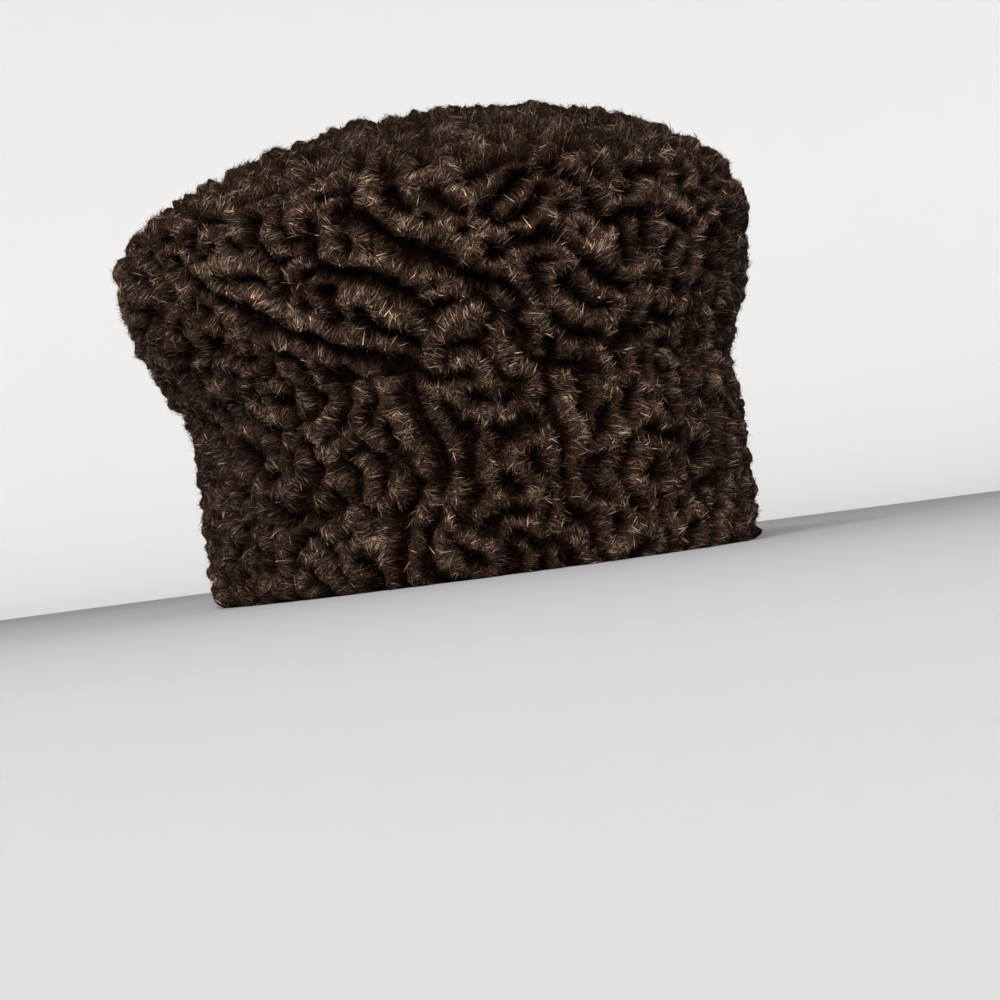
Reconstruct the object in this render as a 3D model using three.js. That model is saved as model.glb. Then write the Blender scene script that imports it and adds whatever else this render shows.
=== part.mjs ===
// Karakul fur cap: a straight oval band sewn edge to edge to a flared crown
// with a softly domed top. Both pieces are curly lambskin, a hide with pipe
// curls standing on it. The curls stand upright on the band and lie round
// the crown. The cap rests on its rim at z = 0, front towards -y.
import * as THREE from 'three';

// Driving dimensions in millimetres, measured over the curls
const bandWidth = 179;
const bandDepth = 203;
const bandHeight = 59;
const shoulderWidth = 209;
const shoulderDepth = 224;
const shoulderRise = 50;
const domeRise = 39;
const wallThickness = 9;
const rimRounding = 3;
const seamGap = 0.3;

// The fleece: how deep its furrows are, how far apart the curls lie and how
// far a curl runs before it breaks off
const curlDepth = 3.2;
const curlPitch = 11.5;
const curlLength = 30;

// Waves that carry the curls off their straight lines. The shift says how
// much a wave moves on from curl to curl.
const strayWaves = [
  { length: 43, sway: 2.0, shift: 3 },
  { length: 27, sway: 1.4, shift: -5 },
];

// Exponents of the plan oval and of the dome, 2 for a true ellipse
const planFullness = 2.15;
const domeFullness = 2.3;
const shoulderCrispness = 1.4;

// Steps of the facets, in millimetres
const bandStep = 9;
const roundStep = 9.5;
const insideStep = 14;

// How one curl stands across its pitch, as shares of pitch and curl depth
const curlSection = [
  { across: 0.00, height: 0.00 },
  { across: 0.30, height: 0.88 },
  { across: 0.66, height: 1.00 },
];

// Along its run a curl keeps its height and drops to this share at a break,
// which takes up this share of its length.
// Along the rim and the seam, where the skin is cut, no furrow is deeper
// than this share leaves it.
const breakHeight = 0.15;
const breakLength = 0.3;
const cutEdgeHeight = 0.5;
const goldenShare = 0.618;

const fullTurn = 2 * Math.PI;
const fleeceBrown = new THREE.Color(0x2c2018);

// A point of the plan oval at an angle counted from the front
function ovalPoint(halfWidth, halfDepth, angle) {
  const power = 2 / planFullness;
  const across = Math.sin(angle);
  const along = -Math.cos(angle);
  return {
    x: halfWidth * Math.sign(across) * Math.abs(across) ** power,
    y: halfDepth * Math.sign(along) * Math.abs(along) ** power,
  };
}

// The length nearest to a given one that goes round a ring a whole number
// of times. A curl that doesn't close on itself has no ring.
function fitted(length, ring) {
  return ring ? ring / Math.max(Math.round(ring / length), 1) : length;
}

// How far a curl has strayed from its line at a distance along its run
function stray(place, along, ring) {
  return strayWaves.reduce((sum, { length, sway, shift }) => {
    const turns = along / fitted(length, ring);
    return sum + sway * Math.sin(fullTurn * turns + shift * Math.sin(place));
  }, 0);
}

// How high a curl stands at a distance along its run. Neighbours break off
// at other places because each starts a golden share later.
function standing(curl, along, ring) {
  const run = (along / fitted(curlLength, ring) + curl * goldenShare) % 1;
  return run < breakLength ? breakHeight : 1;
}

// Joins two closed rings with any numbers of points by a strip of triangles
function zip(lower, upper, faces) {
  let i = 0;
  let j = 0;
  while (i < lower.length || j < upper.length) {
    const here = lower[i % lower.length];
    const above = upper[j % upper.length];
    const lowerIsNext = (i + 1) * upper.length <= (j + 1) * lower.length;
    if (lowerIsNext) {
      i += 1;
      faces.push(here, lower[i % lower.length], above);
    } else {
      j += 1;
      faces.push(here, upper[j % upper.length], above);
    }
  }
}

// A closed solid from rings of points, each ring counted anticlockwise from
// above. The rings run up the outside and down the inside. A ring of one
// point is a pole, and without poles the last ring joins the first.
function solidFromRings(rings) {
  const points = [];
  const numbered = rings.map((ring) => ring.map((point) => {
    points.push(point.x, point.y, point.z);
    return points.length / 3 - 1;
  }));
  const faces = [];
  for (let k = 0; k < numbered.length; k += 1) {
    const next = numbered[(k + 1) % numbered.length];
    if (numbered[k].length > 1 && next.length > 1) {
      zip(numbered[k], next, faces);
    } else {
      fan(numbered[k], next, faces);
    }
  }
  const geometry = new THREE.BufferGeometry();
  geometry.setAttribute('position', new THREE.Float32BufferAttribute(points, 3));
  geometry.setIndex(faces);
  geometry.computeVertexNormals();
  return geometry;
}

// Joins a ring to a pole by one triangle a side, and two poles by nothing
function fan(first, second, faces) {
  const poleIsLast = second.length === 1;
  const ring = poleIsLast ? first : second;
  const pole = poleIsLast ? second[0] : first[0];
  if (ring.length === 1) {
    return;
  }
  for (let i = 0; i < ring.length; i += 1) {
    const next = ring[(i + 1) % ring.length];
    if (poleIsLast) {
      faces.push(ring[i], next, pole);
    } else {
      faces.push(next, ring[i], pole);
    }
  }
}

// Plain ring of points at one height, an inset inside the named outline
function plainRing(width, depth, inset, z, step) {
  const count = Math.round((width + depth) / 2 * Math.PI / step);
  return Array.from({ length: count }, (_, i) => {
    const angle = fullTurn * i / count;
    return { ...ovalPoint(width / 2 - inset, depth / 2 - inset, angle), z };
  });
}

// Band: its columns of points follow the curls, which stand upright
function bandGeometry() {
  const meanRadius = (bandWidth + bandDepth) / 4;
  const curls = Math.round(fullTurn * meanRadius / curlPitch);
  const curledRing = (z, inset, leastHeight) => {
    const ring = [];
    for (let curl = 0; curl < curls; curl += 1) {
      for (const { across, height } of curlSection) {
        const line = fullTurn * (curl + across) / curls;
        const angle = line + stray(line, z) / meanRadius;
        const crest = Math.max(height * standing(curl, z), leastHeight);
        const sunk = inset + curlDepth * (1 - crest);
        ring.push({ ...ovalPoint(bandWidth / 2 - sunk, bandDepth / 2 - sunk, angle), z });
      }
    }
    return ring;
  };
  const rings = [curledRing(0, rimRounding, cutEdgeHeight), curledRing(rimRounding, 0, 0)];
  const rows = Math.ceil((bandHeight - rimRounding) / bandStep);
  for (let row = 1; row <= rows; row += 1) {
    const z = rimRounding + (bandHeight - rimRounding) * row / rows;
    rings.push(curledRing(z, 0, row < rows ? 0 : cutEdgeHeight));
  }
  rings.push(plainRing(bandWidth, bandDepth, wallThickness, bandHeight, insideStep));
  rings.push(plainRing(bandWidth, bandDepth, wallThickness, 0, insideStep));
  return solidFromRings(rings);
}

// Crown outline from the seam to the top, as half sizes at each height. It
// flares in a quarter wave to the shoulder and closes in over the dome.
function crownOutline() {
  const seam = bandHeight + seamGap;
  const finePoints = 90;
  const outline = [];
  for (let i = 0; i < finePoints; i += 1) {
    const t = i / finePoints;
    const flare = Math.sin(t * fullTurn / 4);
    outline.push({
      halfWidth: (bandWidth + flare * (shoulderWidth - bandWidth)) / 2,
      halfDepth: (bandDepth + flare * (shoulderDepth - bandDepth)) / 2,
      z: seam + t * shoulderRise,
    });
  }
  for (let i = 0; i <= finePoints; i += 1) {
    const turn = i / finePoints * fullTurn / 4;
    const share = Math.abs(Math.cos(turn)) ** (2 / domeFullness);
    outline.push({
      halfWidth: i < finePoints ? share * shoulderWidth / 2 : 0,
      halfDepth: i < finePoints ? share * shoulderDepth / 2 : 0,
      z: seam + shoulderRise + domeRise * Math.sin(turn) ** (2 / shoulderCrispness),
    });
  }
  let run = 0;
  outline.forEach((point, i) => {
    const before = outline[Math.max(i - 1, 0)];
    const step = (point.halfWidth + point.halfDepth - before.halfWidth - before.halfDepth) / 2;
    run += Math.hypot(step, point.z - before.z);
    point.run = run;
  });
  return outline;
}

// The outline's half sizes, height and outward direction at a length run
// along it from the seam
function alongOutline(outline, run) {
  const length = outline[outline.length - 1].run;
  const wanted = Math.min(Math.max(run, 0), length);
  const i = Math.max(outline.findIndex((point) => point.run >= wanted), 1);
  const [low, high] = [outline[i - 1], outline[i]];
  const share = (wanted - low.run) / (high.run - low.run);
  const mixed = (name) => low[name] + share * (high[name] - low[name]);
  const inward = low.halfWidth + low.halfDepth - high.halfWidth - high.halfDepth;
  const rise = high.z - low.z;
  const slope = Math.hypot(inward / 2, rise);
  return {
    halfWidth: mixed('halfWidth'),
    halfDepth: mixed('halfDepth'),
    z: mixed('z'),
    outward: rise / slope,
    upward: inward / 2 / slope,
  };
}

// One point of the crown, sunk below the outline by a depth. Near the top
// it stops at the middle line and never crosses it.
function crownPoint(outline, run, angle, depth) {
  const at = alongOutline(outline, run);
  const halfWidth = Math.max(at.halfWidth - depth * at.outward, 0);
  const halfDepth = Math.max(at.halfDepth - depth * at.outward, 0);
  return { ...ovalPoint(halfWidth, halfDepth, angle), z: at.z - depth * at.upward };
}

// Facets round the crown at a length run. The widest ring has a number that
// can be halved three times, and smaller rings have half, a quarter or an
// eighth of it, so that no facet gets too thin.
function countAround(outline, run, step) {
  const halvings = 3;
  const widest = (shoulderWidth + shoulderDepth) / 2 * Math.PI / step;
  const at = alongOutline(outline, run);
  const here = (at.halfWidth + at.halfDepth) * Math.PI / step;
  const most = 2 ** halvings * Math.round(widest / 2 ** halvings);
  const halved = Math.floor(Math.log2(most / Math.max(here, 1)) + 0.25);
  return most / 2 ** Math.min(Math.max(halved, 0), halvings);
}

// Crown: its rows of points follow the curls, which lie round it
function crownGeometry() {
  const outline = crownOutline();
  const length = outline[outline.length - 1].run;
  const curls = Math.round(length / curlPitch - 0.5);
  const pitch = length / (curls + 0.5);
  const rings = [];
  for (let curl = 0; curl <= curls; curl += 1) {
    for (const { across, height } of curlSection) {
      const line = (curl + across) * pitch;
      if (curl === curls && across > 0.4) {
        break;
      }
      const count = countAround(outline, line, roundStep);
      const ring = count * roundStep;
      const ends = Math.min(line / pitch, (length - line) / pitch, 1);
      rings.push(Array.from({ length: count }, (_, i) => {
        const along = i * roundStep;
        const swing = ends * stray(line / pitch, along, ring);
        const leastHeight = line > 0 ? 0 : cutEdgeHeight;
        const crest = Math.max(height * standing(curl, along, ring), leastHeight);
        const angle = fullTurn * i / count;
        return crownPoint(outline, line + swing, angle, curlDepth * (1 - crest));
      }));
    }
  }
  rings.push([{ x: 0, y: 0, z: outline[outline.length - 1].z - curlDepth / 2 }]);
  rings.push([crownPoint(outline, length, 0, wallThickness)]);
  const insideRows = Math.ceil(length / insideStep);
  for (let row = insideRows - 1; row >= 1; row -= 1) {
    const run = length * row / insideRows;
    const count = countAround(outline, run, insideStep);
    rings.push(Array.from({ length: count }, (_, i) => (
      crownPoint(outline, run, fullTurn * i / count, wallThickness))));
  }
  const seam = bandHeight + seamGap;
  rings.push(plainRing(bandWidth, bandDepth, wallThickness, seam, insideStep));
  return solidFromRings(rings);
}

// One named piece of curly lambskin
function furPiece(name, geometry, roughness) {
  const material = new THREE.MeshStandardMaterial({
    color: fleeceBrown,
    roughness,
    metalness: 0,
  });
  const mesh = new THREE.Mesh(geometry, material);
  mesh.name = name;
  return mesh;
}

const cap = new THREE.Group();
cap.add(furPiece('fur_band', bandGeometry(), 0.8));
cap.add(furPiece('fur_crown', crownGeometry(), 0.75));

export default cap;
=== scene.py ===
# %% [markdown]
# # A karakul fur cap
# The cap is made of two strips of curly lambskin: a straight oval band and a
# flared, domed crown. Its whole look is the fleece. Thick rope-like curls wind
# over the skin, and the hair of each curl is combed across it, from the dark
# furrow on one side over the crest into the furrow on the other.
# The form could be sculpted or simulated, but a fleece is a pattern on a known
# form. So one grid of points lies over the cap, the curls are worked out on
# that grid, and the skin and the hair both read them from it.

# %% The fixed frame
import math
import bpy
import numpy as np
from mathutils import Matrix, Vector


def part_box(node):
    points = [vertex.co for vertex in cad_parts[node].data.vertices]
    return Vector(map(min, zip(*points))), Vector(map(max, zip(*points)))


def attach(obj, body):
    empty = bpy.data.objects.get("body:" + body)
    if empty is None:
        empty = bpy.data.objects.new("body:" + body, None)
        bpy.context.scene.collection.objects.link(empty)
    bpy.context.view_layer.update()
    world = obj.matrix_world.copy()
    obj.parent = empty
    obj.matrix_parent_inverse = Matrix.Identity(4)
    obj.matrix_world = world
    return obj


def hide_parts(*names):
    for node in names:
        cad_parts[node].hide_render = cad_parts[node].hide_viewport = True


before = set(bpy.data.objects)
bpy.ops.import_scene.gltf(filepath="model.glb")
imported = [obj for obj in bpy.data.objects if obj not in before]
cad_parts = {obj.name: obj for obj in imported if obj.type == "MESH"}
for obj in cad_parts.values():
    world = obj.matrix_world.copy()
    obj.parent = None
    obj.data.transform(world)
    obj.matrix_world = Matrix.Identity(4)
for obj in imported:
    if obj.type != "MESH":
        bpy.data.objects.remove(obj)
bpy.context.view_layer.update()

MM = 0.001
FULL_TURN = 2 * math.pi
rng = np.random.default_rng(seed=41)

# %% [markdown]
# ## Sizes
# The sizes of the two pieces come from the frame. What the frame can't tell,
# how the fleece is built, is named here: the pitch of the curls, their depth
# and the wall under them.

# %% Sizes from the frame and of the fleece
band_low, band_high = (np.array(corner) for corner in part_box("fur_band"))
crown_low, crown_high = (np.array(corner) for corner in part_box("fur_crown"))
band_half = (band_high - band_low)[:2] / 2
shoulder_half = (crown_high - crown_low)[:2] / 2
band_top = band_high[2]
crown_bottom = crown_low[2]
crown_top = crown_high[2]
SHOULDER_SHARE = 50 / 89
shoulder_z = crown_bottom + SHOULDER_SHARE * (crown_top - crown_bottom)

WALL = 9 * MM
RIM_ROUNDING = 3 * MM
TOP_SUNK = 1.2 * MM
PLAN_FULLNESS = 2.15
DOME_FULLNESS = 2.3
SHOULDER_CRISPNESS = 1.4

CURL_PITCH = 8.3 * MM
CURL_DEPTH = 6.6 * MM
COLUMNS = 480
ROW_STEP = 1.3 * MM
print("shoulder at", round(shoulder_z / MM, 1), "mm, top at", round(crown_top / MM, 1), "mm")

# %% [markdown]
# ## The form
# Seen from above every level of the cap is an oval, so the form is one outline
# from rim to top that is carried round the oval. The band is straight. The
# crown flares in a quarter wave up to its shoulder and then closes in over a
# dome. The outline is counted by its run, the length walked along it from the
# rim, because the curls keep their size on the skin and not in height.

# %% The outline from rim to top
OUTLINE_LEVELS = 120


def crown_levels():
    """Half sizes and heights of the crown from its seam to its top."""
    turn = np.linspace(0, 1, OUTLINE_LEVELS)
    flare = np.sin(turn * FULL_TURN / 4)[:, None]
    side = band_half + flare * (shoulder_half - band_half)
    side_z = crown_bottom + turn * (shoulder_z - crown_bottom)
    share = np.cos(turn[1:] * FULL_TURN / 4).clip(0) ** (2 / DOME_FULLNESS)
    dome = share[:, None] * shoulder_half
    rise = np.sin(turn[1:] * FULL_TURN / 4) ** (2 / SHOULDER_CRISPNESS)
    dome_z = shoulder_z + (crown_top - shoulder_z) * rise
    return np.vstack([side, dome]), np.concatenate([side_z, dome_z])


crown_half, crown_z = crown_levels()
outline_half = np.vstack([band_half, band_half, crown_half])
outline_z = np.concatenate([[0, band_top], crown_z])
steps = np.hypot(np.diff(outline_half.mean(axis=1)), np.diff(outline_z))
outline_run = np.concatenate([[0], np.cumsum(steps)])
seam_run = float(outline_run[2])
print("run from rim to top:", round(outline_run[-1] / MM, 1), "mm, seam at", round(seam_run / MM, 1))

# %% [markdown]
# ## The grid
# One grid of rows and columns covers the outside of the cap. Its columns lie at
# equal steps round the oval, the rows at equal steps of the run, so a cell is a
# little over a millimetre across on the sides. Every later step reads this grid.

# %% The columns round the oval
OVAL_STEPS = 20001


def oval_directions(count):
    """Points of the unit oval at equal steps round the band, from the front."""
    fine = np.linspace(0, FULL_TURN, OVAL_STEPS)
    power = 2 / PLAN_FULLNESS
    across = np.sign(np.sin(fine)) * np.abs(np.sin(fine)) ** power
    along = -np.sign(np.cos(fine)) * np.abs(np.cos(fine)) ** power
    length = np.hypot(np.diff(across * band_half[0]), np.diff(along * band_half[1]))
    walked = np.concatenate([[0], np.cumsum(length)])
    wanted = np.arange(count) * walked[-1] / count
    return np.stack([np.interp(wanted, walked, across), np.interp(wanted, walked, along)], axis=1)


oval = oval_directions(COLUMNS)
print("columns round the oval:", len(oval))

# %% [markdown]
# The seam has a row of its own in each piece. Where the crown begins to flare,
# the outline has a slight corner that thick fleece doesn't show, so the half
# sizes of the rows near the seam are evened out with those of their neighbours.

# %% The rows from rim to top
SEAM_EASE = 5 * MM
band_rows = int(round(seam_run / ROW_STEP)) + 1
crown_rows = int(round((outline_run[-1] - seam_run) / ROW_STEP)) + 1
row_run = np.concatenate([
    np.linspace(0, seam_run, band_rows),
    np.linspace(seam_run, outline_run[-1], crown_rows),
])
row_half = np.stack([np.interp(row_run, outline_run, outline_half[:, k]) for k in (0, 1)], axis=1)
row_z = np.interp(row_run, outline_run, outline_z)
row_z[:band_rows] = np.linspace(0, band_top, band_rows)
apart = (row_run[:, None] - row_run[None, :]) / SEAM_EASE
even = np.exp(-apart ** 2 / 2)
even /= even.sum(axis=1, keepdims=True)
near_seam = np.exp(-((row_run - seam_run) / (2 * SEAM_EASE)) ** 2 / 2)[:, None]
row_half = row_half * (1 - near_seam) + even @ row_half * near_seam
BAND = slice(0, band_rows)
CROWN = slice(band_rows, len(row_run))
print("grid:", len(row_run), "rows by", COLUMNS, "columns")

# %% [markdown]
# A worn crown isn't quite even. This one leans to the left above its middle, and
# its top leans to the right. A short table gives that lean by height.

# %% The points of the grid
crown_lean = [
    {"height_share": 0.30, "shift_mm": 0.0},
    {"height_share": 0.55, "shift_mm": -4.0},
    {"height_share": 0.74, "shift_mm": -4.5},
    {"height_share": 0.85, "shift_mm": -1.0},
    {"height_share": 1.00, "shift_mm": 4.5},
]


def lay_out(half, z):
    """Points of a grid from half sizes and heights, one pair and one number a row."""
    flat = half[:, None, :] * oval[None]
    shares = [row["height_share"] for row in crown_lean]
    lean = np.interp(z / crown_top, shares, [row["shift_mm"] * MM for row in crown_lean])
    flat[:, :, 0] += lean[:, None]
    return np.concatenate([flat, np.broadcast_to(z[:, None, None], flat.shape[:2] + (1,))], axis=2)


form = lay_out(row_half, row_z)
print("points of the form:", form.shape[0] * form.shape[1])

# %% [markdown]
# Each point also knows the size of its cell and three directions: out of the
# cap, round it and up it. They turn lengths on the skin into steps of the grid.

# %% Sizes and directions of the cells
NARROWEST_CELL = 0.02 * MM
LOWEST_CELL = 0.1 * MM


def unit(vectors):
    return vectors / np.linalg.norm(vectors, axis=-1, keepdims=True).clip(1e-12)


def rise_of(points):
    """The step from row to row, worked out on each piece by itself."""
    return np.concatenate([np.gradient(points[part], axis=0) for part in (BAND, CROWN)])


def turn_of(points):
    """The step from column to column, which closes round the cap."""
    return (np.roll(points, -1, axis=1) - np.roll(points, 1, axis=1)) / 2


row_step = rise_of(form)
column_step = turn_of(form)
column_size = np.linalg.norm(column_step, axis=2).clip(NARROWEST_CELL)
row_size = np.linalg.norm(row_step, axis=2).clip(LOWEST_CELL)
out = unit(np.cross(column_step, row_step))
out[-1] = (0, 0, 1)
around = unit(column_step)
up = np.cross(out, around)
print("a cell of the band:", [round(float(size[BAND].mean()) / MM, 2) for size in (column_size, row_size)])

# %% [markdown]
# ## The curls
# Karakul curls are ropes of hair that wander, fork and end, as the folds of a
# brain coral do. Stripes with that habit come from many short wave packets,
# strewn at random over the skin and added up. Each packet is a small patch of
# even ridges with its own direction. The sum has a phase at every point, which
# says where the point lies between two furrows, and where packets disagree the
# ridges fork or leave a hole. The direction is free to vary within a set
# range, so the band's curls mostly stand and the crown's mostly lie.

# %% Which way the curls run
curl_runs = [
    {"piece": "band", "run_share": 0.0, "lean": 0, "freedom": 70},
    {"piece": "band", "run_share": 1.0, "lean": 0, "freedom": 85},
    {"piece": "crown", "run_share": 0.0, "lean": 35, "freedom": 85},
    {"piece": "crown", "run_share": 0.25, "lean": 60, "freedom": 75},
    {"piece": "crown", "run_share": 0.45, "lean": 62, "freedom": 45},
    {"piece": "crown", "run_share": 1.0, "lean": 80, "freedom": 50},
]
PACKET_SPACING = 4.3 * MM
PACKET_REACH = 5.4 * MM
PACKET_END = 3 * PACKET_REACH
PITCH_SPREAD = 0.25


def strew_curls(piece, rows):
    """The summed wave packets over one piece, as one complex number a grid point."""
    points = form[rows]
    table = [row for row in curl_runs if row["piece"] == piece]
    shares = [row["run_share"] for row in table]
    ring = column_size[rows].sum(axis=1)
    area = (ring * row_size[rows].mean(axis=1)).sum()
    count = int(area / PACKET_SPACING ** 2)
    packet_rows = rng.choice(len(ring), size=count, p=ring / ring.sum())
    packet_columns = rng.integers(0, COLUMNS, size=count)
    run_share = packet_rows / (len(ring) - 1)
    lean = np.radians(np.interp(run_share, shares, [row["lean"] for row in table]))
    free = np.radians(np.interp(run_share, shares, [row["freedom"] for row in table]))
    heading = lean + free * rng.uniform(-1, 1, count)
    wave = FULL_TURN / CURL_PITCH * (1 + PITCH_SPREAD * rng.uniform(-1, 1, count))
    start = rng.uniform(0, FULL_TURN, count)
    total = np.zeros(points.shape[:2], dtype=complex)
    reach_rows = int(PACKET_END / ROW_STEP)
    for k in range(count):
        row, column = packet_rows[k], packet_columns[k]
        near = slice(max(row - reach_rows, 0), row + reach_rows + 1)
        away = points[near] - points[row, column]
        side = around[rows][row, column] * math.cos(heading[k])
        side = side + up[rows][row, column] * math.sin(heading[k])
        fade = np.exp(-np.einsum("ijk,ijk->ij", away, away) / (2 * PACKET_REACH ** 2))
        total[near] += fade * np.exp(1j * (wave[k] * (away @ side) + start[k]))
    print("wave packets on the", piece + ":", count)
    return total


waves = np.concatenate([strew_curls("band", BAND), strew_curls("crown", CROWN)])

# %% [markdown]
# Some furrows are so deep and long that an eye remembers them, and these are
# placed on the front, one by one. Each row of the table is one furrow. Its middle
# is given by the turn from the front, in degrees, and the run from the rim, in
# millimetres. Its heading is 0 to the right and 90 up, its length is in
# millimetres, and it bends by so many degrees along its way.

# %% The furrows that show most
furrow_columns = ("turn", "run", "heading", "length", "bend")
front_furrows = [
    (-1, 90, -33, 54, 10),
    (-10, 85, -24, 24, -20),
    (0, 74, -11, 9, 0),
    (6, 75, -60, 10, 0),
    (-11, 117, 63, 26, 60),
    (-10, 107, -90, 9, 0),
    (-26, 116, 0, 10, 0),
    (-25, 94, -70, 16, 30),
    (-29, 78, -35, 32, 34),
    (-41, 76, -28, 10, 0),
    (-17, 98, 70, 9, 0),
    (-12, 75, -70, 7, 0),
    (-14, 62, -27, 20, 60),
    (-19, 60, -16, 12, 0),
    (-8, 56, -95, 10, 0),
    (-2, 57, -7, 12, 0),
    (15, 92, 13, 8, 0),
    (13, 116, 12, 8, 0),
    (21, 122, 0, 13, 0),
    (24, 101, -40, 28, 10),
    (25, 82, -34, 33, 0),
    (16, 79, -90, 7, 0),
    (25, 63, -6, 14, 0),
    (39, 68, -11, 9, 0),
    (42, 95, -29, 17, -40),
    (54, 83, -13, 12, 0),
    (3, 104, -55, 10, 0),
    (12, 64, -90, 10, 0),
    (19, 57, -10, 16, -40),
    (21, 49, -100, 10, 0),
    (15, 37, -90, 31, -10),
    (29, 43, -100, 10, 0),
    (16, 15, -90, 5, 0),
    (33, 14, -90, 5, 0),
    (2, 14, -90, 5, 0),
    (23, 10, -90, 5, 0),
    (43, 51, -90, 15, 0),
    (0, 32, -90, 19, -15),
    (-8, 45, -90, 9, 0),
    (-14, 15, -96, 10, 0),
    (-37, 51, -11, 8, 0),
    (-32, 24, 0, 28, 50),
    (-41, 15, -94, 10, 0),
    (36, 34, -13, 17, 0),
    (43, 15, -83, 9, 0),
    (8, 40, 0, 14, 0),
]
furrows = [dict(zip(furrow_columns, row)) for row in front_furrows]
print("placed furrows:", len(furrows))

# %% [markdown]
# A furrow is walked from its middle both ways, a millimetre at a step, and turns
# a little at each step. The pattern then needs only one number a point: how far
# it lies from the nearest of these walks.

# %% The distance to the placed furrows
FURROW_REACH = 1.5 * CURL_PITCH
FAR_OFF = 4 * CURL_PITCH


def trace(furrow, way):
    """Half a furrow, as grid points a millimetre apart, from its middle on."""
    row = float(np.interp(furrow["run"] * MM, row_run, np.arange(len(row_run))))
    column = furrow["turn"] / 360 * COLUMNS
    heading = math.radians(furrow["heading"] + (0 if way > 0 else 180))
    walk = max(furrow["length"] // 2, 1)
    points = [(row, column)]
    for _ in range(walk):
        here = (int(round(row)), int(round(column)) % COLUMNS)
        column += math.cos(heading) * MM / column_size[here]
        row += math.sin(heading) * MM / row_size[here]
        heading += way * math.radians(furrow["bend"]) / 2 / walk
        points.append((row, column))
    return points


def gap_to_furrows():
    """How far each grid point lies from the nearest furrow of the table."""
    gap = np.full(form.shape[:2], FAR_OFF)
    reach = int(FURROW_REACH / ROW_STEP)
    for furrow in furrows:
        for row, column in trace(furrow, 1) + trace(furrow, -1):
            near = slice(max(int(row) - reach, 0), int(row) + reach + 1)
            middle = form[int(round(row)), int(round(column)) % COLUMNS]
            away = np.linalg.norm(form[near] - middle, axis=2)
            gap[near] = np.minimum(gap[near], away)
    return gap


furrow_gap = gap_to_furrows()
print("points beside a placed furrow:", int((furrow_gap < CURL_PITCH / 2).sum()))

# %% [markdown]
# Three tools work on a field, which is one number at each point of the grid: a
# blur, a soft noise, and a reading between the points. Round the cap the blur is
# done in the frequencies of a ring, because a ring closes on itself.

# %% Tools for fields
WAVES_AN_OCTAVE = 24
ROW_END = 1.001


def blur(field, rows, reach):
    """A field of one piece, evened out over a reach along rows and columns."""
    apart = (row_run[rows][:, None] - row_run[rows][None, :]) / reach
    share = np.exp(-apart ** 2 / 2)
    share /= share.sum(axis=1, keepdims=True)
    waves_a_metre = np.fft.rfftfreq(COLUMNS) / column_size[rows].mean(axis=1, keepdims=True)
    fade = np.exp(-(FULL_TURN * waves_a_metre * reach) ** 2 / 2)
    return np.fft.irfft(np.fft.rfft(share @ field, axis=1) * fade, COLUMNS, axis=1)


def smooth_noise(scale, octaves=1):
    """Seeded soft noise over the grid, as a sum of long waves in space."""
    total = np.zeros(form.shape[:2])
    for octave in range(octaves):
        for _ in range(WAVES_AN_OCTAVE):
            wave = unit(rng.normal(size=3)) * FULL_TURN / (scale / 2 ** octave)
            total += np.cos(form @ wave + rng.uniform(0, FULL_TURN)) / 2 ** octave
    return total / total.std()


def read(field, rows, columns):
    """A field of the grid between its points. Columns close round the cap."""
    low = np.floor(rows).astype(int).clip(0, len(row_run) - 2)
    left = np.floor(columns).astype(int)
    down, side = (rows - low).clip(0, 1), columns - left
    near, far = left % COLUMNS, (left + 1) % COLUMNS
    if field.ndim == 3:
        down, side = down[:, None], side[:, None]
    first = field[low, near] * (1 - side) + field[low, far] * side
    second = field[low + 1, near] * (1 - side) + field[low + 1, far] * side
    return first * (1 - down) + second * down


# %% [markdown]
# The packets alone leave many broken ends. In the skin, neighbouring roots
# settle into common curls, and a few rounds of the same rule heal the pattern
# here: a point rises with its near neighbours and sinks with those half a
# pitch away. A bias towards the ridges joins them into a net, and the furrows
# between them break up into short grooves and round holes.

# %% The curls settle
SETTLING_ROUNDS = 5
SETTLING_GAIN = 7
NEAR_REACH = CURL_PITCH / 5.7
FAR_REACH = 1.75 * NEAR_REACH
RIDGE_EASE = 0.5 * NEAR_REACH
FURROW_PERCENT = 3
CREST_PERCENT = 92
RIDGE_BIAS = 0.25
BIAS_WANDER = 0.2
REGION_SIZE = 30 * MM
CLUSTER_SIZE = 8 * MM
PLACED_REACH = 0.65 * CURL_PITCH
PLACED_WIDTH = 0.28 * CURL_PITCH
PLACED_PULL = 0.9


def settle(rows, bias):
    """The ridges of one piece, from -1 in a furrow to 1 on a crest."""
    placed = np.exp(-(furrow_gap[rows] / PLACED_REACH) ** 2)
    field = np.cos(np.angle(waves[rows])) * (1 - placed)
    field -= np.cos(FULL_TURN * furrow_gap[rows] / CURL_PITCH) * placed
    for _ in range(SETTLING_ROUNDS):
        contrast = blur(field, rows, NEAR_REACH) - blur(field, rows, FAR_REACH)
        field = np.tanh(SETTLING_GAIN * contrast + bias[rows])
    field = blur(field, rows, RIDGE_EASE)
    low, high = np.percentile(field, (FURROW_PERCENT, CREST_PERCENT))
    return np.clip((field - low) / (high - low) * 2 - 1, -1, 1)


in_furrow = np.exp(-(furrow_gap / PLACED_WIDTH) ** 2)
wander = BIAS_WANDER * (smooth_noise(REGION_SIZE) + smooth_noise(CLUSTER_SIZE))
bias = RIDGE_BIAS + wander - PLACED_PULL * in_furrow
ridges = np.concatenate([settle(BAND, bias), settle(CROWN, bias)])
print("in the furrows:", round(float((ridges < -0.5).mean()) * 100, 1), "% of the skin")

# %% [markdown]
# No real curl has an even width. So the pattern sways a little to and fro,
# slowly over two curls and quickly within one, and its edges get ragged.

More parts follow.
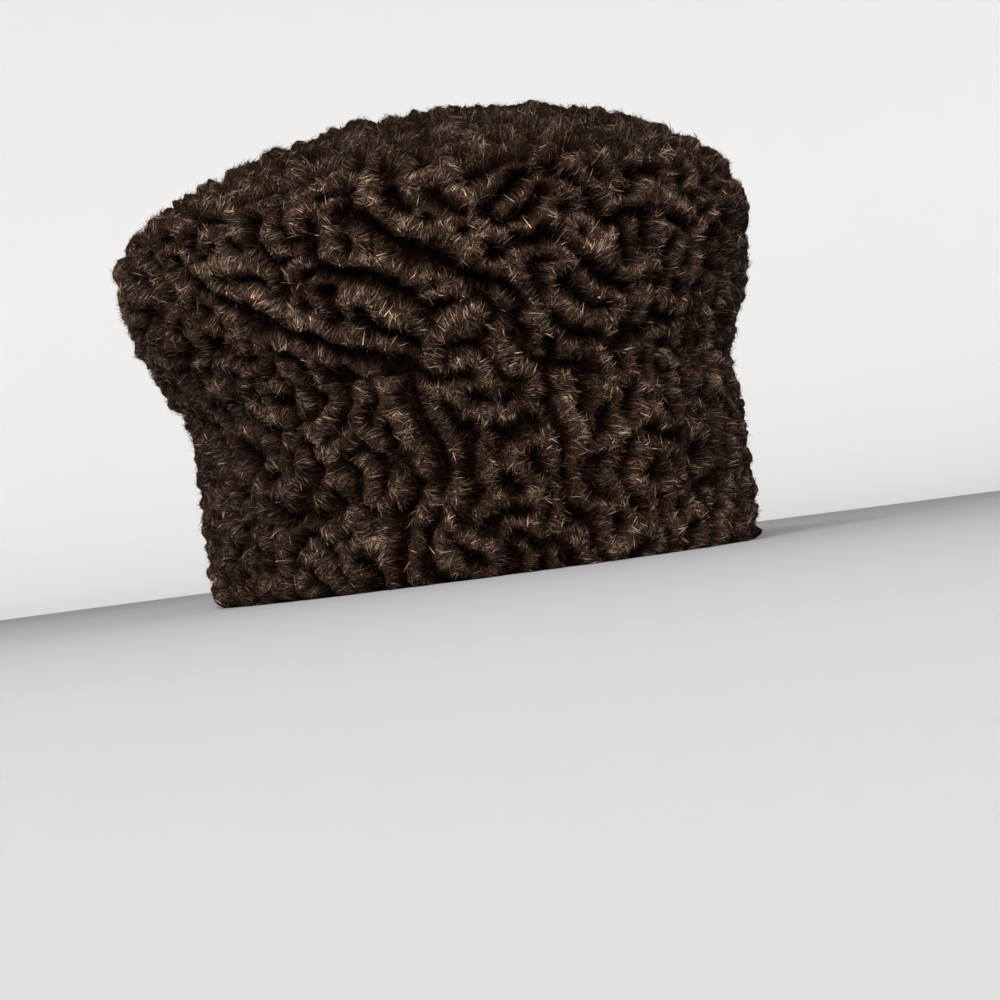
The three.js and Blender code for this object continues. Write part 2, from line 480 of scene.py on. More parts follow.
# %% The curls sway
SLOW_SWAY = 1.0 * MM
SLOW_SWAY_SIZE = 17 * MM
QUICK_SWAY = 0.4 * MM
QUICK_SWAY_SIZE = 7 * MM
RAGGEDNESS = 0.26
RAG_SIZE = 4.2 * MM


def sway():
    return SLOW_SWAY * smooth_noise(SLOW_SWAY_SIZE) + QUICK_SWAY * smooth_noise(QUICK_SWAY_SIZE)


def warp(field, rows):
    """Shifts a pattern of one piece a little to and fro, so that no curl stays even."""
    row, column = np.meshgrid(np.arange(len(row_run)), np.arange(COLUMNS), indexing="ij")
    row = row[rows] + sway_up[rows] / row_size[rows]
    column = column[rows] + sway_round[rows] / column_size[rows]
    return read(field, row.clip(rows.start, rows.stop - ROW_END), column)


sway_up = sway()
sway_round = sway()
ridges = np.concatenate([warp(ridges, BAND), warp(ridges, CROWN)])
from_crest = (np.arccos(ridges) + RAGGEDNESS * smooth_noise(RAG_SIZE)).clip(0, math.pi)
print("widest sway:", round(float(np.abs(sway_up).max()) / MM, 1), "mm")

# %% [markdown]
# Across its width a curl is a half-round rope, so its height follows a circle
# from furrow to furrow. Some furrows are deep black holes and others are only
# creases, so a slow noise says how deep they reach. Knobs along the rope and a
# slower unevenness make some curls stand higher than others. At the seam the
# curls of the two pieces meet at one height.

# %% The height of the curls
ROPE_SHARE = 0.68
ROPE_SPREAD = 0.07
ROPE_SPREAD_SIZE = 16 * MM
DEPTH_SHARE = 0.97
DEPTH_SPREAD = 0.28
DEPTH_SPREAD_SIZE = 18 * MM
SHALLOWEST = 0.3
UNEVEN_RISE = 0.06
UNEVEN_SIZE = 24 * MM
KNOB_RISE = 0.15
KNOB_SIZE = 7 * MM
HIGHEST = 1.3
HEIGHT_EASE = 0.7 * MM
SEAM_MEETING = 4

uneven = smooth_noise(UNEVEN_SIZE, octaves=2)
knobs = smooth_noise(KNOB_SIZE, octaves=2)
rope_share = ROPE_SHARE + ROPE_SPREAD * smooth_noise(ROPE_SPREAD_SIZE, octaves=2)
rope = np.sqrt(np.clip(1 - (from_crest / math.pi / rope_share) ** 2, 0, 1))
furrow_depth = DEPTH_SHARE + DEPTH_SPREAD * smooth_noise(DEPTH_SPREAD_SIZE, octaves=2)
furrow_depth = np.clip(furrow_depth, SHALLOWEST, 1)
furrow_depth = np.maximum(furrow_depth, in_furrow ** 0.5)
height = 1 - (1 - rope) * furrow_depth + (UNEVEN_RISE * uneven + KNOB_RISE * knobs) * rope
height = np.clip(height, 0, HIGHEST)
height = np.concatenate([blur(height[rows], rows, HEIGHT_EASE) for rows in (BAND, CROWN)])
for row in range(SEAM_MEETING):
    below, above = height[band_rows - 1 - row].copy(), height[band_rows + row].copy()
    other = (1 - row / SEAM_MEETING) / 2
    height[band_rows - 1 - row] = below * (1 - other) + above * other
    height[band_rows + row] = above * (1 - other) + below * other
print("mean curl height:", round(float(height.mean()), 2), "of", CURL_DEPTH / MM, "mm")

# %% [markdown]
# The lightness of the hair goes with the height of its curl: the furrows get
# painted shade, the crests painted light, and higher knobs a little more painted
# light. A few soft spots of a table get painted light or shade, lighter on the
# front and darker on the sides, and the top of the dome gets painted shade. A turn
# is in degrees from the front, a run in millimetres from the rim, and each spot fades over its two
# reaches.

# %% The lightness of the hair
CREASE_SHADE = 0.5
KNOB_LIGHT = 0.1
# Painted shade towards the top of the dome.
TOP_PAINTED_SHADE = 0.48
# Spots of painted light on the front and painted shade on the sides.
light_and_shade_spots = [
    {"turn": 2, "turn_reach": 34, "run": 86, "run_reach": 30, "lighter": 0.2},
    {"turn": 12, "turn_reach": 25, "run": 12, "run_reach": 12, "lighter": 0.10},
    {"turn": -55, "turn_reach": 22, "run": 40, "run_reach": 45, "lighter": -0.10},
    {"turn": 66, "turn_reach": 26, "run": 45, "run_reach": 55, "lighter": -0.15},
]
towards_top = np.clip((row_z - shoulder_z) / (crown_top - shoulder_z), 0, 1)[:, None]
# Painted shade in the furrows, painted light on crests and higher knobs, painted shade towards the top.
lightness = 1 - (1 - rope) * (1 - CREASE_SHADE + CREASE_SHADE * furrow_depth)
lightness = lightness * (1 + KNOB_LIGHT * knobs) * (1 - TOP_PAINTED_SHADE * towards_top)
turn_degrees = (np.arange(COLUMNS) / COLUMNS * 360 + 180) % 360 - 180
for spot in light_and_shade_spots:
    across = (turn_degrees[None, :] - spot["turn"]) / spot["turn_reach"]
    along = (row_run[:, None] / MM - spot["run"]) / spot["run_reach"]
    lightness = lightness * (1 + spot["lighter"] * np.exp(-across ** 2 - along ** 2))
print("lightness from", round(float(lightness.min()), 2), "to", round(float(lightness.max()), 2))

# %% [markdown]
# The curls are now cut into the form. A mean crest lies on the form itself and
# the furrows lie below it, so that the cap keeps its size. The rim is rounded,
# as the turned edge of a skin is, and both edges of the seam stay flat.

# %% The skin with its curls
from_rim = np.clip(1 - row_run / RIM_ROUNDING, 0, 1)[:, None]
rim_inset = RIM_ROUNDING * (1 - np.sqrt(1 - from_rim ** 2))
sunk = CURL_DEPTH * (1 - height) + rim_inset + TOP_SUNK * towards_top
skin = form - out * sunk[..., None]
skin[:, :, 2] = np.maximum(skin[:, :, 2], 0)
skin[0, :, 2] = 0
skin[band_rows - 1, :, 2] = band_top
skin[band_rows, :, 2] = crown_bottom
lift_way = unit(np.cross(turn_of(skin), rise_of(skin)))
lift_way[-1] = (0, 0, 1)
print("deepest furrow:", round(float(sunk.max()) / MM, 1), "mm under the form")

# %% [markdown]
# ## Closed pieces from the grid
# Each piece is a wall with an outside and an inside. The rings of the grid are
# joined up the outside, over the cut edge and down the inside, so the mesh is
# closed as the real piece is. Towards the top of the dome a ring gets so short
# that every second point is left out, again and again, which keeps the faces
# of one size.

# %% Faces between rings of points
MOST_LEFT_OUT = 16
SHORTEST_SIDE = 0.55 * ROW_STEP


def thin_out(ring):
    """The step by which to take points of a ring: 1, or 2, 4, 8 or 16 if it is short."""
    length = np.linalg.norm(np.roll(ring, -1, axis=0) - ring, axis=1).sum()
    every = 1
    while every < MOST_LEFT_OUT and length / (COLUMNS / every) < SHORTEST_SIDE:
        every *= 2
    return every


def bridge(first, second):
    """Faces from one closed ring of point numbers up to the next.

    Rings may differ in number of points by a whole factor, and a ring of one
    point is a pole.
    """
    if len(first) == 1 and len(second) == 1:
        return []
    if len(second) == 1:
        return [(a, b, second[0]) for a, b in zip(first, np.roll(first, -1))]
    if len(first) == 1:
        return [(first[0], b, a) for a, b in zip(second, np.roll(second, -1))]
    few, many = sorted((first, second), key=len)
    ratio = len(many) // len(few)
    faces = []
    for k, here in enumerate(few):
        there = few[(k + 1) % len(few)]
        fan = [many[(k * ratio + j) % len(many)] for j in range(ratio + 1)]
        faces.append((here, there, *reversed(fan)) if few is first else (*fan, there, here))
    return faces


# %% [markdown]
# Every mesh also gets one number a point for its finish to read, and a flat
# map, so that its finish can be kept as a picture. A wall is unrolled on that
# map: round the cap to the right, and ring by ring upwards.

# %% Meshes, their maps and the body that they ride on
def hold(mesh, name, values):
    """Stores one number a point in a mesh, for its finish to read."""
    field = mesh.attributes.new(name, "FLOAT", "POINT")
    field.data.foreach_set("value", values.astype(np.float32).ravel())


def lay_map(mesh, spots):
    """Stores where each corner of each face lies on the flat map of the mesh."""
    flat = mesh.uv_layers.new(name="OFBake")
    flat.data.foreach_set("uv", spots.astype(np.float32).ravel())


def place_mesh(mesh, materials):
    """Makes a piece of a mesh, which rides on the cap's one body."""
    for material in materials:
        mesh.materials.append(material)
    mesh.update()
    piece = bpy.data.objects.new(mesh.name, mesh)
    bpy.context.collection.objects.link(piece)
    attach(piece, "root")
    mesh.calc_loop_triangles()
    print(mesh.name, len(mesh.loop_triangles), "triangles")
    return piece


class Wall:
    """A closed wall that grows ring by ring, up its outside and down its inside."""

    def __init__(self):
        self.rings, self.crests, self.spots = [], [], []
        self.faces, self.slots, self.smooth = [], [], []
        self.count = 0

    def ring(self, points, crest, slot, smooth=True):
        """Adds a ring of points, with their lightness, and joins it to the last one."""
        numbers = np.arange(self.count, self.count + len(points))
        self.count += len(points)
        self.crests.append(np.broadcast_to(crest, len(points)))
        shares = np.arange(len(points)) / len(points)
        self.spots.append(np.column_stack([shares, np.full(len(points), len(self.rings))]))
        if self.rings:
            self.join(self.last, numbers, slot, smooth)
        self.rings.append(points)
        self.last = numbers
        return numbers

    def join(self, first, second, slot, smooth=True):
        """Adds the faces between two rings, with their material and shading."""
        faces = bridge(first, second)
        self.faces += faces
        self.slots += [slot] * len(faces)
        self.smooth += [smooth] * len(faces)

    def piece(self, name, materials):
        """Makes the mesh and the piece of all rings and faces."""
        mesh = bpy.data.meshes.new(name)
        faces = [tuple(int(n) for n in face) for face in self.faces]
        mesh.from_pydata(np.concatenate(self.rings).tolist(), [], faces)
        mesh.polygons.foreach_set("material_index", self.slots)
        mesh.polygons.foreach_set("use_smooth", self.smooth)
        # The crest numbers are the lightness field: painted light and shade.
        hold(mesh, "crest", np.concatenate(self.crests))
        self.unroll(mesh)
        return place_mesh(mesh, materials)

    def unroll(self, mesh):
        """Lays the map. A face that closes a ring ends at the map's right edge."""
        corner = np.zeros(len(mesh.loops), dtype=np.int32)
        mesh.loops.foreach_get("vertex_index", corner)
        spots = np.concatenate(self.spots)[corner] / (1, len(self.rings))
        face = np.repeat(np.arange(len(self.faces)), [len(numbers) for numbers in self.faces])
        for axis in (0, 1):
            low, high = np.ones(len(self.faces)), np.zeros(len(self.faces))
            np.minimum.at(low, face, spots[:, axis])
            np.maximum.at(high, face, spots[:, axis])
            closes = (high - low > 0.5)[face] & (spots[:, axis] < 0.5)
            spots[closes, axis] += 1
        lay_map(mesh, spots)


# %% [markdown]
# ## Shader maths
# A finish is worked out from values that differ from point to point. The small
# class below wraps one socket of a material, so that a formula can be written
# as a formula, and each operation adds the Math node that does it.

# %% Values and nodes of a material
class Value:
    """A number on its way through the nodes of a finish."""

    def __init__(self, finish, socket):
        self.finish, self.socket = finish, socket

    def maths(self, operation, first, second):
        return self.finish.node("ShaderNodeMath", {"operation": operation}, {0: first, 1: second})

    def __add__(self, other):
        return self.maths("ADD", self, other)

    def __sub__(self, other):
        return self.maths("SUBTRACT", self, other)

    def __rsub__(self, other):
        return self.maths("SUBTRACT", other, self)

    def __mul__(self, other):
        return self.maths("MULTIPLY", self, other)

    def __pow__(self, other):
        return self.maths("POWER", self, other)

    __radd__ = __add__
    __rmul__ = __mul__


class Finish:
    """One material and its nodes."""

    def __init__(self, name):
        self.material = bpy.data.materials.new(name)
        self.material.use_nodes = True
        self.tree = self.material.node_tree
        self.shader = self.tree.nodes["Principled BSDF"]

    def feed(self, socket, value):
        """Links a value to a socket, or sets a constant on it."""
        if isinstance(value, Value):
            self.tree.links.new(value.socket, socket)
        else:
            socket.default_value = value

    def wear(self, name, value):
        """Gives one property to the surface itself."""
        self.feed(self.shader.inputs[name], value)

    def node(self, kind, settings=None, sockets=None, output=0):
        """Adds a node, sets its settings, then feeds its sockets."""
        node = self.tree.nodes.new(kind)
        for name, setting in (settings or {}).items():
            setattr(node, name, setting)
        for name, value in (sockets or {}).items():
            self.feed(node.inputs[name], value)
        return Value(self, node.outputs[output])

    def mix(self, share, first, second):
        """A colour between two colours."""
        settings = {"data_type": "RGBA"}
        return self.node("ShaderNodeMix", settings, {0: share, 6: first, 7: second}, output=2)

    def reading(self, name):
        """A number that the mesh holds at each point."""
        return self.node("ShaderNodeAttribute", {"attribute_name": name}, output=2)

    def noise(self, scale, detail=2.0):
        """Soft noise in the piece's own space, with so many waves a metre."""
        place = self.node("ShaderNodeTexCoord", output=3)
        return self.node("ShaderNodeTexNoise", None, {"Vector": place, "Scale": scale, "Detail": detail})

    def bump(self, strength, distance, height):
        """Fine relief that only the light sees."""
        sockets = {"Strength": strength, "Distance": distance, "Height": height}
        self.wear("Normal", self.node("ShaderNodeBump", None, sockets))


# %% [markdown]
# ## Finishes
# Under the locks lies the dense underwool, with painted shade, nearly black, where
# a furrow is deep, because no light gets out of it. A flat dark colour would look
# like paint. So a fine mottle breaks it up, and only on the crests does it turn brown.

# %% The underwool
FURROW_SHADE = (0.0016, 0.0005, 0.0001, 1)
WOOL_BROWN = (0.021, 0.011, 0.0062, 1)
UNDERWOOL_ROUGHNESS = 0.9
UNDERWOOL_GLOSS = 0.02
CREST_FALL = 2.0
MOTTLE_SCALE = 1500.0
MOTTLE_SHARPNESS = 3.0
MOTTLE_GAIN = 6.0
MOTTLE_FLOOR = 0.2


def underwool():
    """Dense short wool between the locks, with painted shade in the furrows."""
    finish = Finish("underwool")
    crest = finish.reading("crest")
    mottle = finish.noise(MOTTLE_SCALE, detail=3.0)
    # Painted shade: where the crest value is low, in the furrows, the wool goes nearly black.
    share = crest ** CREST_FALL * (mottle ** MOTTLE_SHARPNESS * MOTTLE_GAIN - MOTTLE_FLOOR)
    finish.wear("Base Color", finish.mix(share, FURROW_SHADE, WOOL_BROWN))
    finish.wear("Roughness", UNDERWOOL_ROUGHNESS)
    finish.wear("Specular IOR Level", UNDERWOOL_GLOSS)
    finish.bump(strength=0.5, distance=0.3 * MM, height=mottle)
    return finish.material


wool_finish = underwool()
print("finish:", wool_finish.name)

# %% [markdown]
# The inside of the skin is plain hide with a short nap, like suede. It hardly
# shows, so two near browns and a soft relief are enough.

# %% The hide
HIDE_BROWN = (0.050, 0.030, 0.019, 1)
HIDE_PALE = (0.085, 0.054, 0.036, 1)
HIDE_ROUGHNESS = 0.85
NAP_SCALE = 350.0


def hide():
    """The plain inside of the skin, suede-like."""
    finish = Finish("hide")
    nap = finish.noise(NAP_SCALE, detail=5.0)
    finish.wear("Base Color", finish.mix(nap, HIDE_BROWN, HIDE_PALE))
    finish.wear("Roughness", HIDE_ROUGHNESS)
    finish.bump(strength=0.4, distance=0.2 * MM, height=nap)
    return finish.material


hide_finish = hide()
print("finish:", hide_finish.name)

# %% [markdown]
# The locks are dark brown. They get lighter towards their tips, the tops of the
# curls get painted light and the furrows painted shade, and no two locks have
# quite the same tone, which makes the fleece look like hair and not like clay.
# Hair throws back a glint of its own colour, not a white one, so a small share of
# the finish is metallic.

# %% The hair
HAIR_DARK = (0.0045, 0.0012, 0.0002, 1)
HAIR_LIGHT = (0.294, 0.195, 0.138, 1)
HAIR_ROUGHNESS = 0.5
HAIR_GLOSS = 0.06
LIT_FLOOR = 0.004
LIT_SHARPNESS = 3.2
LIT_GAIN = 1.14
TONE_SHARPNESS = 3.5
TONE_GAIN = 1.66
TONE_FLOOR = 0.1
PATCH_SCALE = 45.0
PATCH_GAIN = 0.35
ROOT_SHARE = 0.15
TUFT_SCALE = 330.0
TUFT_GAIN = 4.6
TUFT_FLOOR = 1.3
GLINT_FLOOR = 0.1
GLINT_GAIN = 0.2


def hair():
    """Locks of hair, each of its own tone, lighter towards the tip, with painted light on the crests."""
    finish = Finish("hair")
    tone = finish.reading("tone")
    along = finish.reading("along")
    crest = finish.reading("crest")
    patch = finish.noise(PATCH_SCALE)
    tuft = finish.noise(TUFT_SCALE)
    # lit is painted light on the crests and painted shade in the furrows.
    lit = LIT_FLOOR + crest ** LIT_SHARPNESS * LIT_GAIN
    share = tone ** TONE_SHARPNESS * TONE_GAIN + patch * PATCH_GAIN - TONE_FLOOR
    share = share * (ROOT_SHARE + along * (1 - ROOT_SHARE)) * lit * (tuft * TUFT_GAIN - TUFT_FLOOR)
    finish.wear("Base Color", finish.mix(share, HAIR_DARK, HAIR_LIGHT))
    finish.wear("Metallic", lit * (GLINT_FLOOR + tone * GLINT_GAIN))
    finish.wear("Roughness", HAIR_ROUGHNESS)
    finish.wear("Specular IOR Level", HAIR_GLOSS)
    return finish.material


hair_finish = hair()
print("finish:", hair_finish.name)

# %% [markdown]
# ## The two pieces of skin
# The band is a strip with a cut edge above and a rim below, and the crown is a
# bowl with one cut edge. Only the outside has curls, so the inside needs few
# points. The cut edges are shaded flat: shaded smooth, they would catch the
# light as a bright line along the seam.

# %% Band and crown
OUTSIDE, INSIDE = 0, 1
BAND_LEVELS = 8
BAND_EVERY = 4
CROWN_EVERY = 8
POLE_ROWS = 2
POLE_LIGHTNESS = 0.5
slope = unit(np.stack([np.gradient(row_half.mean(axis=1)), np.gradient(row_z)], axis=1))


def inside_ring(half, z, every):
    """A plain oval ring of few points."""
    return np.column_stack([oval * half, np.full(COLUMNS, z)])[::every]


def behind(row):
    """Half sizes and height of the inside of the wall behind a row of the form."""
    half = np.maximum(row_half[row] - WALL * slope[row, 1], 0)
    return half, row_z[row] + WALL * slope[row, 0]


def band_piece():
    """The band: up the outside, over the seam edge, down the inside."""
    wall = Wall()
    rings = [wall.ring(skin[row], lightness[row], OUTSIDE) for row in range(band_rows)]
    for share in np.linspace(1, 0, BAND_LEVELS):
        level = inside_ring(band_half - WALL, band_top * share, BAND_EVERY)
        wall.ring(level, 0, INSIDE, smooth=bool(share < 1))
    wall.join(wall.last, rings[0], INSIDE, smooth=False)
    return wall.piece("band_fleece", [wool_finish, hide_finish])


def crown_piece():
    """The crown: up the outside to the top, and down the inside to the seam."""
    wall = Wall()
    rings = []
    for row in range(band_rows, len(row_run) - POLE_ROWS):
        every = thin_out(skin[row])
        rings.append(wall.ring(skin[row][::every], lightness[row][::every], OUTSIDE))
    wall.ring(skin[-1].mean(axis=0, keepdims=True), POLE_LIGHTNESS, OUTSIDE)
    wall.ring(np.array([[0, 0, crown_top - WALL]]), 0, INSIDE)
    for row in range(len(row_run) - CROWN_EVERY, band_rows + CROWN_EVERY, -CROWN_EVERY):
        every = max(CROWN_EVERY, thin_out(skin[row]))
        wall.ring(inside_ring(*behind(row), every), 0, INSIDE)
    wall.ring(inside_ring(band_half - WALL, crown_bottom, CROWN_EVERY), 0, INSIDE)
    wall.join(wall.last, rings[0], INSIDE, smooth=False)
    return wall.piece("crown_fleece", [wool_finish, hide_finish])


band_fleece = band_piece()
crown_fleece = crown_piece()
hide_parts("fur_band")
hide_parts("fur_crown")

# %% [markdown]
# ## The locks
# A fleece of single hairs would take millions of strands, so each strand here
# is a thin lock of a few hairs: one long narrow triangle, rooted in the skin
# and pointed at its tip. Locks lie across their curl, in the way that the hair
# is combed. The axis comes from how the ridges rise and fall near a point, and
# the phase of the wave packets says which of its two ways a lock grows. The
# phase of the curl at a root also tells how far the lock has to reach.

# %% The way that the hair is combed
COMB_REACH = 1.6 * MM


def comb():
    """Direction across the curls at each grid point, as shares of column and row."""
    parts = []
    for rows in (BAND, CROWN):
        by_column = turn_of(ridges[rows]) / column_size[rows]
        by_row = np.gradient(ridges[rows], axis=0) / row_size[rows]
        both = blur(by_column * by_row, rows, COMB_REACH)
        differ = blur(by_column ** 2 - by_row ** 2, rows, COMB_REACH)
        angle = np.arctan2(2 * both, differ) / 2
        parts.append(np.stack([np.cos(angle), np.sin(angle)], axis=2))
    way = np.concatenate(parts)
    by_column = (np.conj(waves) * turn_of(waves)).imag / column_size
    by_row = (np.conj(waves) * rise_of(waves)).imag / row_size
    return way * np.sign(way[:, :, 0] * by_column + way[:, :, 1] * by_row)[..., None]


combing = comb()
uphill = combing[:, :, 0] * turn_of(ridges) / column_size
uphill += combing[:, :, 1] * rise_of(ridges) / row_size
phase = -np.sign(uphill) * from_crest
print("combed uphill:", round(float((uphill > 0).mean()) * 100), "% of the skin")

# %% [markdown]
# Roots are strewn evenly over the skin. From its root a lock follows the comb,
# and neighbours sway together as tufts do. Most locks lie close to the curl.
# Some stand off and stray, and these make the fuzz of the outline. A lock may
# reach a little over the seam, which hides it as the real fleece does.

# %% Roots and tips of the locks
LOCKS_A_SQUARE_MM = 6.9
LOCK_REACH = (1.4 * MM, 3.2 * MM)
LOCK_END = 0.8 * math.pi
SHORTEST_LOCK = 0.6
LOCK_STAND_MM = (0.1, 0.6)
LOCK_STRAY = 0.13
FUZZ_SHARE = 0.18
FUZZ_STAND_MM = (0.5, 2.4)
FUZZ_STRAY = 0.5
TUFT_SWAY = 0.4
TUFT_SIZE = 4.5 * MM
ROOT_LIFT = 0.2
OVER_SEAM = 3
FLOOR_GAP = 0.2 * MM
tufts = smooth_noise(TUFT_SIZE)


def sow(rows, first_column, last_column):
    """Roots of the locks over a part of the grid, evenly over the skin."""
    weight = (column_size * row_size)[rows, first_column:last_column]
    count = int(weight.sum() / MM ** 2 * LOCKS_A_SQUARE_MM)
    by_row = weight.sum(axis=1)
    root_rows = rows.start + rng.choice(len(by_row), size=count, p=by_row / by_row.sum())
    root_rows = root_rows + rng.uniform(0, 1, count)
    root_columns = rng.uniform(first_column, last_column, count)
    return root_rows.clip(rows.start, rows.stop - ROW_END), root_columns


def grow(rows, root_rows, root_columns):
    """Root and tip of each lock, and the painted light and shade of the curl at both."""
    count = len(root_rows)
    at = phase[root_rows.astype(int), root_columns.astype(int) % COLUMNS]
    length = ((LOCK_END - at) / FULL_TURN * CURL_PITCH).clip(*LOCK_REACH)
    length = length * rng.uniform(SHORTEST_LOCK, 1, count)
    fuzzy = rng.uniform(0, 1, count) < FUZZ_SHARE
    stand = np.where(fuzzy, rng.uniform(*FUZZ_STAND_MM, count), rng.uniform(*LOCK_STAND_MM, count)) * MM
    stray = rng.normal(0, np.where(fuzzy, FUZZ_STRAY, LOCK_STRAY), count)
    stray += TUFT_SWAY * read(tufts, root_rows, root_columns)
    way = unit(read(combing, root_rows, root_columns))
    turn_cos, turn_sin = np.cos(stray), np.sin(stray)
    along_column = way[:, 0] * turn_cos - way[:, 1] * turn_sin
    along_row = way[:, 0] * turn_sin + way[:, 1] * turn_cos
    tip_columns = root_columns + along_column * length / read(column_size, root_rows, root_columns)
    tip_rows = root_rows + along_row * length / read(row_size, root_rows, root_columns)
    lowest = max(rows.start - OVER_SEAM, 0)
    highest = min(rows.stop + OVER_SEAM, len(row_run)) - ROW_END
    tip_rows = tip_rows.clip(lowest, highest)
    line, crests = [], []
    for row, column, lift in ((root_rows, root_columns, ROOT_LIFT), (tip_rows, tip_columns, 1)):
        line.append(read(skin, row, column) + read(lift_way, row, column) * (lift * stand)[:, None])
        crests.append(read(lightness, row, column))
    line = np.stack(line, axis=1)
    line[:, :, 2] = line[:, :, 2].clip(FLOOR_GAP)
    return line, np.stack(crests, axis=1)


# %% [markdown]
# Each lock is one triangle, turned a little about its own length so that no two
# catch the light alike. Hundreds of thousands of them can't be added one by
# one, so the arrays of points go into the mesh as a whole. The fleece is split
# into six pieces round the cap, because no single piece should get too heavy.

# %% Locks as thin triangles
LOCK_WIDTH = 0.29 * MM
WIDTH_RANGE = (0.6, 1.4)
ROLL_SPREAD = 0.6
CELL_FILL = 0.7
BARE_TOP_ROWS = 6


def lock_cells(count):
    """A small cell of the flat map for each lock, so that each keeps its own tone."""
    wide = math.ceil(math.sqrt(count))
    inside = np.array([[0, 0], [1, 0], [0.5, 1]]) * CELL_FILL + (1 - CELL_FILL) / 2
    cell = np.stack([np.arange(count) % wide, np.arange(count) // wide], axis=1)
    return ((cell[:, None] + inside) / (wide, math.ceil(count / wide))).reshape(-1, 2)


def blades(name, rows, first_column, last_column):
    """One piece of locks, each a long triangle with its point at the tip."""
    root_rows, root_columns = sow(rows, first_column, last_column)
    line, crests = grow(rows, root_rows, root_columns)
    count = len(line)
    root, tip = line[:, 0], line[:, 1]
    along = unit(tip - root)
    side = unit(np.cross(along, read(lift_way, root_rows, root_columns)))
    roll = rng.normal(0, ROLL_SPREAD, (count, 1))
    side = side * np.cos(roll) + np.cross(along, side) * np.sin(roll)
    reach = side * LOCK_WIDTH * rng.uniform(*WIDTH_RANGE, (count, 1)) / 2
    points = np.stack([root - reach, root + reach, tip], axis=1)
    mesh = bpy.data.meshes.new(name)
    mesh.vertices.add(count * 3)
    mesh.vertices.foreach_set("co", points.astype(np.float32).ravel())
    mesh.loops.add(count * 3)
    mesh.loops.foreach_set("vertex_index", np.arange(count * 3, dtype=np.int32))
    mesh.polygons.add(count)
    mesh.polygons.foreach_set("loop_start", np.arange(count, dtype=np.int32) * 3)
    mesh.update(calc_edges=True)
    hold(mesh, "tone", np.repeat(rng.uniform(0, 1, count), 3))
    hold(mesh, "along", np.tile([0, 0, 1], count))
    # The crest numbers are the lightness field: painted light and shade.
    hold(mesh, "crest", crests[:, [0, 0, 1]])
    lay_map(mesh, lock_cells(count))
    return place_mesh(mesh, [hair_finish])


lock_sectors = [
    {"piece": "band", "rows": BAND, "sectors": 2},
    {"piece": "crown", "rows": slice(band_rows, len(row_run) - BARE_TOP_ROWS), "sectors": 4},
]
for part in lock_sectors:
    edges = np.linspace(0, COLUMNS, part["sectors"] + 1).astype(int)
    for number, (first, last) in enumerate(zip(edges, edges[1:]), start=1):
        blades(f"{part['piece']}_locks_{number}", part["rows"], first, last)

# %% [markdown]
# ## Floor and wall
# The cap stands on a plain grey floor. A pale wall stands round it at a distance
# and bends softly out of the floor. Both are one profile turned round the cap,
# so they look the same from every side.

# %% The floor and the wall
FLOOR_START = 0.0005
FLOOR_REACH = 1.1
WALL_REACH = 1.9
WALL_BEND = 0.5
WALL_TOP = 2.2
BEND_STEPS = 12
SHEET_SIDES = 96
SHEET_ROUGHNESS = 0.9
FLOOR_GREY = (0.24, 0.24, 0.25, 1)
WALL_PALE = (0.8, 0.8, 0.8, 1)


def turned_sheet(name, profile, colour):
    """A plain sheet turned round the cap, from a list of reaches and heights."""
    turns = np.arange(SHEET_SIDES) * FULL_TURN / SHEET_SIDES
    points = [(reach * math.sin(t), reach * math.cos(t), z) for reach, z in profile for t in turns]
    faces = []
    for ring in range(len(profile) - 1):
        for k in range(SHEET_SIDES):
            a, b = ring * SHEET_SIDES + k, ring * SHEET_SIDES + (k + 1) % SHEET_SIDES
            faces.append((a, b, b + SHEET_SIDES, a + SHEET_SIDES))
    mesh = bpy.data.meshes.new(name)
    mesh.from_pydata(points, [], faces)
    mesh.polygons.foreach_set("use_smooth", [True] * len(faces))
    finish = Finish(name)
    finish.wear("Base Color", colour)
    finish.wear("Roughness", SHEET_ROUGHNESS)
    mesh.materials.append(finish.material)
    sheet = bpy.data.objects.new(name, mesh)
    bpy.context.collection.objects.link(sheet)
    print(name, "with", len(faces), "faces")


floor_profile = [(FLOOR_START, 0), (FLOOR_REACH / 2, 0), (FLOOR_REACH, 0)]
wall_profile = [(FLOOR_REACH, 0)]
for step in range(BEND_STEPS + 1):
    angle = step / BEND_STEPS * FULL_TURN / 4
    reach = WALL_REACH - WALL_BEND * (1 - math.sin(angle))
    wall_profile.append((reach, WALL_BEND * (1 - math.cos(angle))))
wall_profile.append((WALL_REACH, WALL_TOP))
turned_sheet("pale_floor", floor_profile, FLOOR_GREY)
turned_sheet("pale_wall", wall_profile, WALL_PALE)

# %% [markdown]
# ## Light
# The main light is a large soft one from the front, left and above, as window
# light is: it rakes over the curls and leaves their furrows dark. A weak one,
# low on the right, and a pale room fill the shadows.

# %% The lights
LIGHT_AIM = (0, 0, 0.08)
ROOM_COLOUR = (0.95, 0.97, 1.0, 1)
ROOM_STRENGTH = 0.42
soft_lights = [
    {
        "name": "window_light",
        "place": (-0.28, -1.25, 0.78),
        "size": 0.7,
        "power": 46,
        "colour": (1.0, 0.97, 0.93),
    },
    {
        "name": "side_light",
        "place": (0.5, -1.3, 0.3),
        "size": 0.9,
        "power": 8,
        "colour": (0.95, 0.97, 1.0),
    },
]


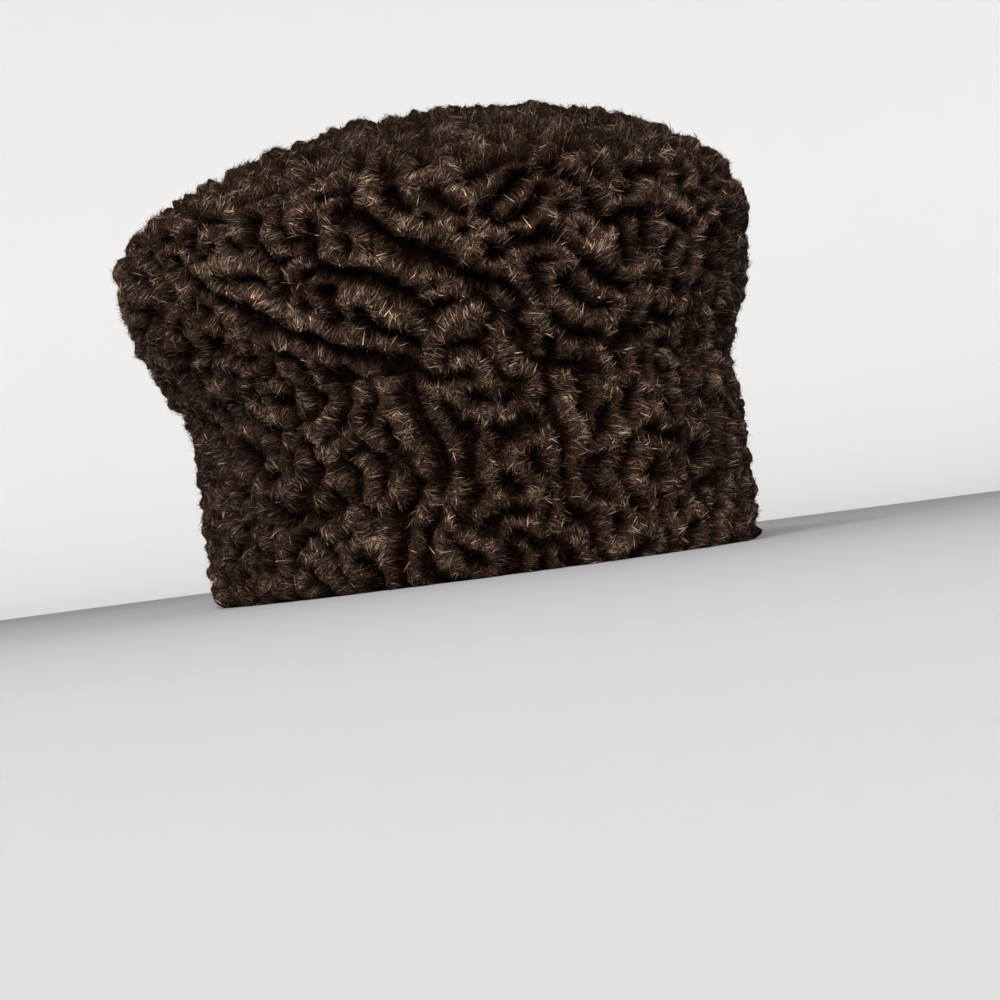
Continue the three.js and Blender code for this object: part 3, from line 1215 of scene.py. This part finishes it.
def soft_light(name, place, size, power, colour):
    """A square soft light that looks at the middle of the cap."""
    data = bpy.data.lights.new(name, "AREA")
    data.size, data.energy, data.color = size, power, colour
    light = bpy.data.objects.new(name, data)
    bpy.context.collection.objects.link(light)
    light.location = place
    away = np.array(place) - np.array(LIGHT_AIM)
    pitch = math.atan2(math.hypot(away[0], away[1]), away[2])
    light.rotation_euler = (pitch, 0, math.atan2(away[0], -away[1]))
    print(name, "of", power, "W")


for row in soft_lights:
    soft_light(**row)
world = bpy.data.worlds.new("room")
world.use_nodes = True
room = world.node_tree.nodes["Background"]
room.inputs["Color"].default_value = ROOM_COLOUR
room.inputs["Strength"].default_value = ROOM_STRENGTH
bpy.context.scene.world = world
bpy.context.scene.view_settings.view_transform = "Standard"

# %% [markdown]
# ## Camera
# The camera stands straight in front, hardly above the floor, and is rolled by a
# few degrees. Its place and lens give the perspective. The place of the rim's
# middle in the picture, in pixels, then says where it has to look.

# %% The camera
PHOTO_SIDE = 1000
RIM_CENTRE = (488, 572.5)
FOCAL_PIXELS = 1660
SENSOR_WIDTH = 36
NEAR_CLIP = 0.01
CAMERA_ROLL = math.radians(7.4)
CAMERA_PLACE = np.array([0, -0.555, 0.008])
RIM_MIDDLE = np.array([0, 0, 0])


def place_camera():
    """Aims the camera so that the rim's middle shows where the photo has it."""
    towards = unit(RIM_MIDDLE - CAMERA_PLACE)
    level = unit(np.cross(towards, (0, 0, 1)))
    upright = np.cross(level, towards)
    right = level * math.cos(CAMERA_ROLL) - upright * math.sin(CAMERA_ROLL)
    over = np.cross(right, towards)
    beside, below = [(place - PHOTO_SIDE / 2) / FOCAL_PIXELS for place in RIM_CENTRE]
    forward = unit(towards - right * beside + over * below)
    right = unit(np.cross(forward, over))
    over = np.cross(right, forward)
    data = bpy.data.cameras.new("camera")
    data.sensor_width = SENSOR_WIDTH
    data.lens = FOCAL_PIXELS / PHOTO_SIDE * data.sensor_width
    data.clip_start = NEAR_CLIP
    camera = bpy.data.objects.new("camera", data)
    bpy.context.collection.objects.link(camera)
    turned = np.column_stack([right, over, -forward, CAMERA_PLACE])
    camera.matrix_world = Matrix(np.vstack([turned, [0, 0, 0, 1]]).tolist())
    bpy.context.scene.camera = camera
    print("lens:", round(data.lens, 1), "mm")


place_camera()
